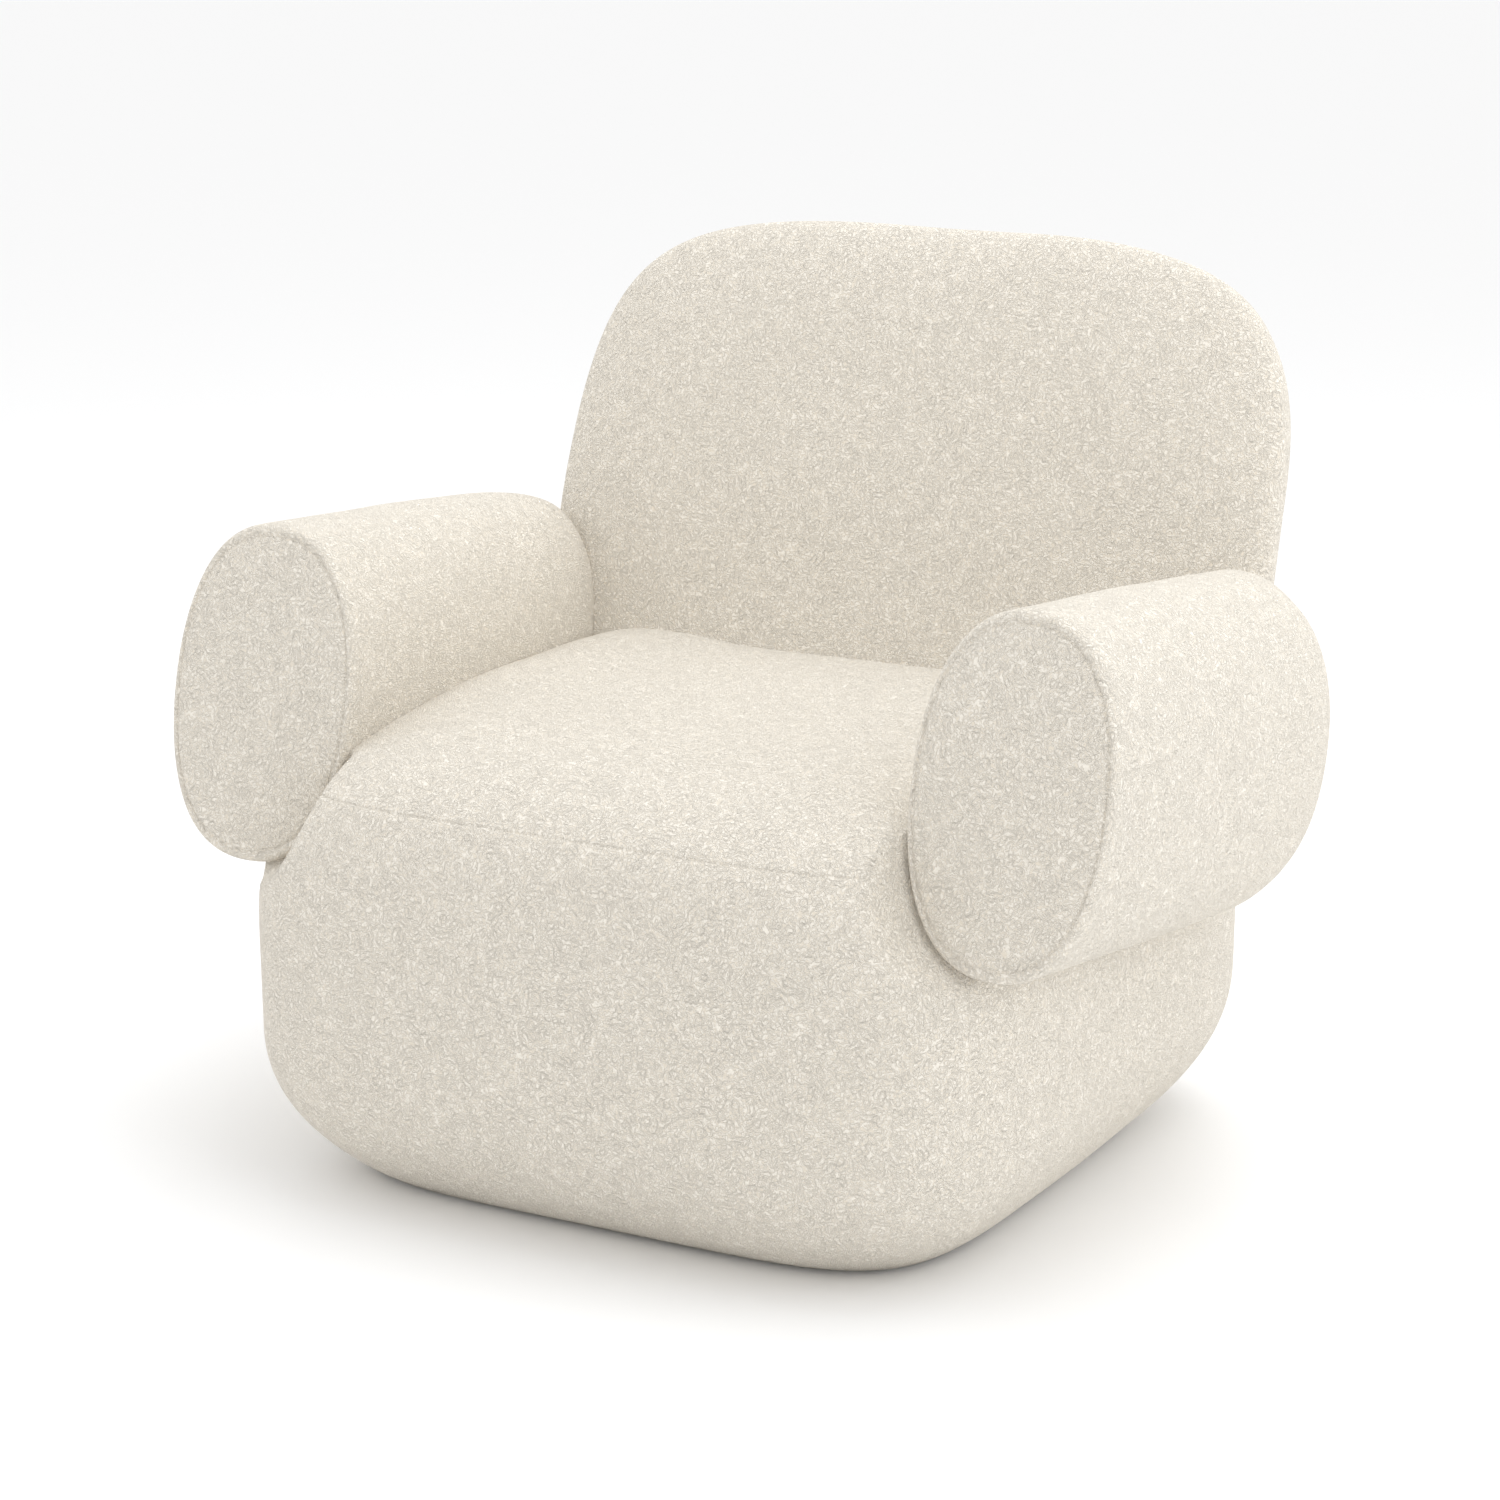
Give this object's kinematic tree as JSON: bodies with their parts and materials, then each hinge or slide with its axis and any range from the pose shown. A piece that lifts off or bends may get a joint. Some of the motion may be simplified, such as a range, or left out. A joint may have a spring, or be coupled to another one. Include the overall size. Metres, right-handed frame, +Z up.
{
  "type": "upholstered armchair",
  "caption": "Fully upholstered armchair with a turned-under crowned seat block, oval bolster arms and a leaning pillow back, in curly off-white boucle.",
  "frame": {"origin": "on the floor, under the middle of the whole chair", "axes": "+Z up, -Y towards the front of the seat, +X towards the right arm as seen from the front"},
  "size_m": [1.0048, 0.8409, 0.8384],
  "materials": {
    "boucle_fabric": "curly off-white boucle upholstery fabric",
    "dust_cloth": "black nonwoven polypropylene",
    "felt": "grey recycled fibre felt",
    "foam": "open cell polyurethane foam",
    "webbing": "elastic woven webbing",
    "glide_plastic": "moulded black plastic",
    "spring_steel": "drawn spring wire, lightly oiled",
    "zinc_plated_steel": "zinc plated",
    "plywood": "birch plywood, unfinished",
    "beech": "beech, unfinished"
  },
  "bodies": {
    "root": {"arm_bearer_left": "plywood", "arm_bearer_right": "plywood", "arm_bolts": "zinc_plated_steel", "arm_cap_left": "boucle_fabric", "arm_cap_right": "boucle_fabric", "arm_cover_left": "boucle_fabric", "arm_cover_right": "boucle_fabric", "arm_foam_left": "foam", "arm_foam_right": "foam", "arm_front_former_left": "plywood", "arm_front_former_right": "plywood", "arm_front_post_left": "beech", "arm_front_post_right": "beech", "arm_lower_rail_left": "beech", "arm_lower_rail_right": "beech", "arm_rear_former_left": "plywood", "arm_rear_former_right": "plywood", "arm_rear_post_left": "beech", "arm_rear_post_right": "beech", "arm_tee_nuts": "zinc_plated_steel", "arm_upper_rail_left": "beech", "arm_upper_rail_right": "beech", "arm_washers": "zinc_plated_steel", "back_bolts": "zinc_plated_steel", "back_foam_core": "foam", "back_foam_front": "foam", "back_front_cover": "boucle_fabric", "back_lower_rail": "beech", "back_lumbar_rail": "beech", "back_rear_cover": "boucle_fabric", "back_top_rail": "beech", "back_upright_left": "beech", "back_upright_right": "beech", "back_washers": "zinc_plated_steel", "back_webbing_across": "webbing", "back_webbing_upright": "webbing", "base_bottom_board": "plywood", "base_corner_blocks": "beech", "base_cross_rail": "beech", "base_foam_front": "foam", "base_foam_rear": "foam", "base_foam_side_left": "foam", "base_foam_side_right": "foam", "base_front_rail": "beech", "base_rear_cover": "boucle_fabric", "base_rear_rail": "beech", "base_side_panel_left": "plywood", "base_side_panel_right": "plywood", "base_wrap_cover": "boucle_fabric", "dust_cover": "dust_cloth", "glide_screws": "zinc_plated_steel", "glides": "glide_plastic", "seat_foam_core": "foam", "seat_foam_topper": "foam", "seat_insulator_felt": "felt", "seat_springs": "spring_steel", "seat_top_cover": "boucle_fabric", "spring_clips": "spring_steel", "spring_tie_wires": "spring_steel"}
  },
  "joints": []
}
